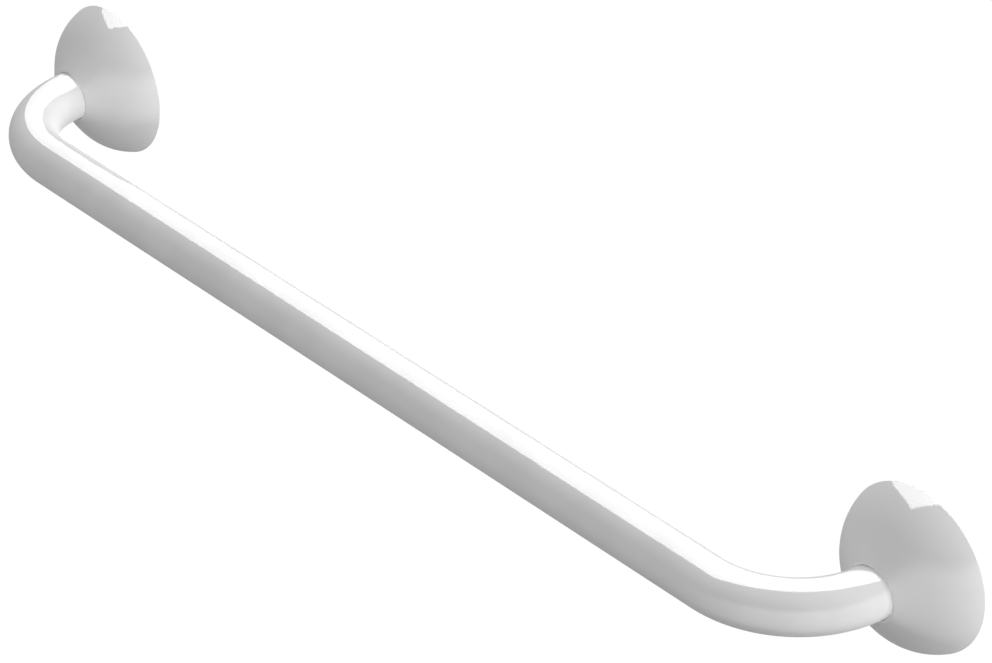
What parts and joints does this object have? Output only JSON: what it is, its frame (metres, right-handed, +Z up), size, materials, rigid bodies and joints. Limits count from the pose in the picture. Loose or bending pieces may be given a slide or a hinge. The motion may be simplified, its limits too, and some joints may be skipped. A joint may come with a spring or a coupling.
{
  "type": "grab bar",
  "caption": "Wall-mounted grab bar: a round coated tube bent back to the wall at its ends, with bell covers that hide the screw flanges and slip back round the bends for fitting.",
  "frame": {"origin": "on the wall plane, midway between the centres of the wall flanges", "axes": "+X along the bar, +Y into the wall, so the room and the bar are at -Y, +Z up"},
  "size_m": [0.6546, 0.0875, 0.0796],
  "materials": {
    "coated_tube": "smooth glossy white coating on steel tube",
    "moulded_cover": "glossy white moulded plastic",
    "cast_flange": "as-cast, lightly tumbled",
    "screw_steel": "plain stainless steel"
  },
  "bodies": {
    "bar": {"bar_tube": "coated_tube", "left_wall_flange": "cast_flange", "right_wall_flange": "cast_flange", "left_lock_screw": "screw_steel", "right_lock_screw": "screw_steel"},
    "left_cover": {"left_bell_cover": "moulded_cover"},
    "right_cover": {"right_bell_cover": "moulded_cover"}
  },
  "joints": [
    {"name": "left_cover_slip", "type": "hinge", "parent": "bar", "child": "left_cover", "pos_m": [-0.2375, -0.025, 0], "axis": [0, 0, 1], "range_deg": [0, 90]},
    {"name": "right_cover_slip", "type": "hinge", "parent": "bar", "child": "right_cover", "pos_m": [0.2375, -0.025, 0], "axis": [0, 0, -1], "range_deg": [0, 90]}
  ]
}
